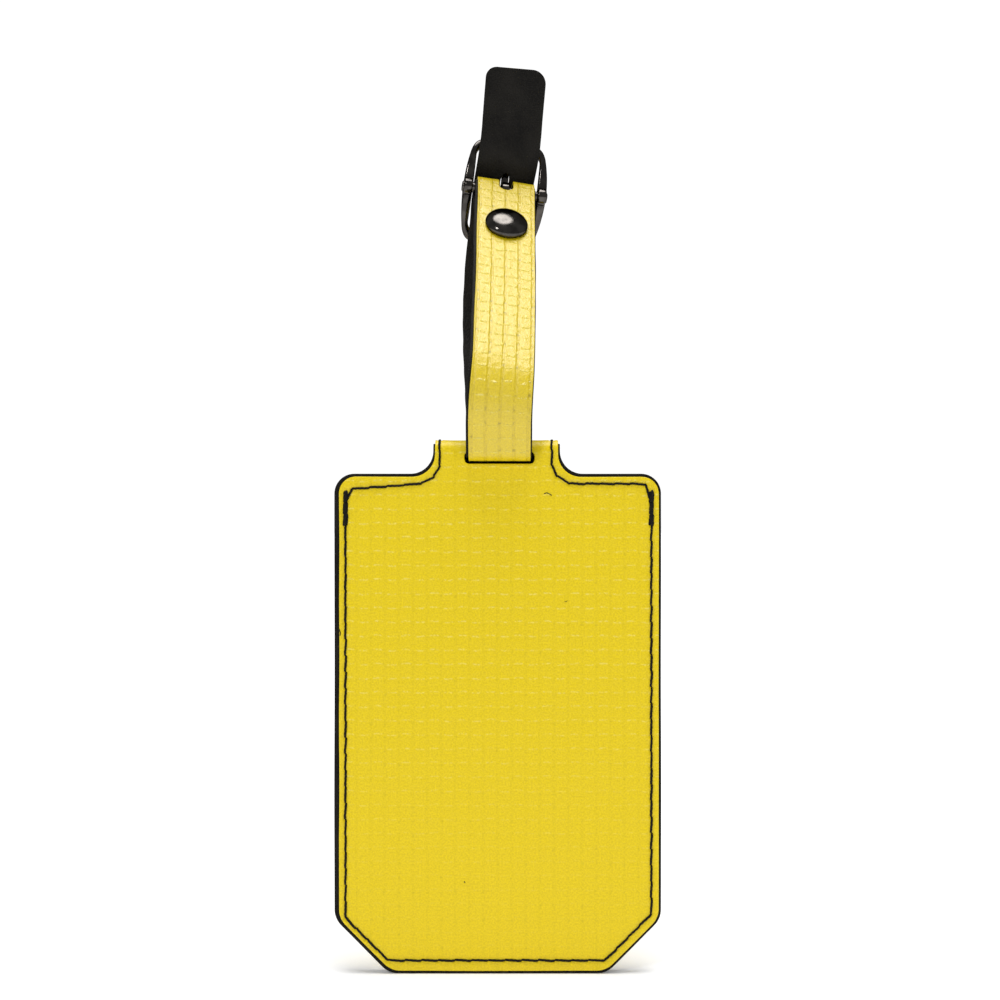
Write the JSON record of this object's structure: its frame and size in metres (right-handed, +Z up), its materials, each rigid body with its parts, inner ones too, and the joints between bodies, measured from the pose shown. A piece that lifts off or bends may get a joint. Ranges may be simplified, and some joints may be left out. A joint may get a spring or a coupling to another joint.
{
  "type": "luggage tag",
  "caption": "Tarpaulin luggage tag with a folded neck, a hinged cover over a card pocket, and a looped strap closed by a centre-bar buckle and a rivet.",
  "frame": {"origin": "the middle of the strap's loop, where a bag's handle passes", "axes": "+X to the right seen from the tag's front, +Y from the tag's front to its back, +Z up"},
  "size_m": [0.072, 0.0518, 0.2072],
  "materials": {
    "tarpaulin": "PVC-coated tarpaulin, satin, with a square weave showing through",
    "lining": "black fine-grained leatherette",
    "thread": "black sewing thread",
    "clear_sheet": "clear soft PVC sheet",
    "card": "uncoated card",
    "gunmetal": "polished black-nickel plate"
  },
  "bodies": {
    "strap": {"strap_face": "tarpaulin", "strap_lining": "lining", "rivet_cap": "gunmetal", "rivet_post": "gunmetal"},
    "buckle": {"buckle_frame": "gunmetal", "centre_bar": "gunmetal"},
    "prong": {"prong": "gunmetal"},
    "tag": {"front_panel": "tarpaulin", "front_lining": "lining", "pocket_window": "clear_sheet", "pocket_seam": "thread", "shoulder_seam_left": "thread", "shoulder_seam_right": "thread", "bartack_left": "thread", "bartack_right": "thread"},
    "cover": {"cover_panel": "tarpaulin", "cover_lining": "lining", "cover_seam": "thread"},
    "card": {"address_card": "card"}
  },
  "joints": [
    {"name": "tag_swing", "type": "hinge", "parent": "strap", "child": "tag", "pos_m": [0, -0.014, -0.0353], "axis": [1, 0, 0], "range_deg": [-10, 10]},
    {"name": "cover_open", "type": "hinge", "parent": "tag", "child": "cover", "pos_m": [0, -0.0118, -0.0376], "axis": [1, 0, 0], "range_deg": [0, 90]},
    {"name": "card_slide", "type": "slide", "parent": "tag", "child": "card", "axis": [0, 0, 1], "range_m": [0, 0.01]},
    {"name": "buckle_tilt", "type": "hinge", "parent": "strap", "child": "buckle", "pos_m": [0.00117, 0.02254, 0.02897], "axis": [0.9841, 0.1219, -0.1296], "range_deg": [-2, 2]},
    {"name": "prong_lift", "type": "hinge", "parent": "buckle", "child": "prong", "pos_m": [0.00117, 0.02254, 0.02897], "axis": [-0.9841, -0.1219, 0.1296], "range_deg": [0, 3]}
  ]
}
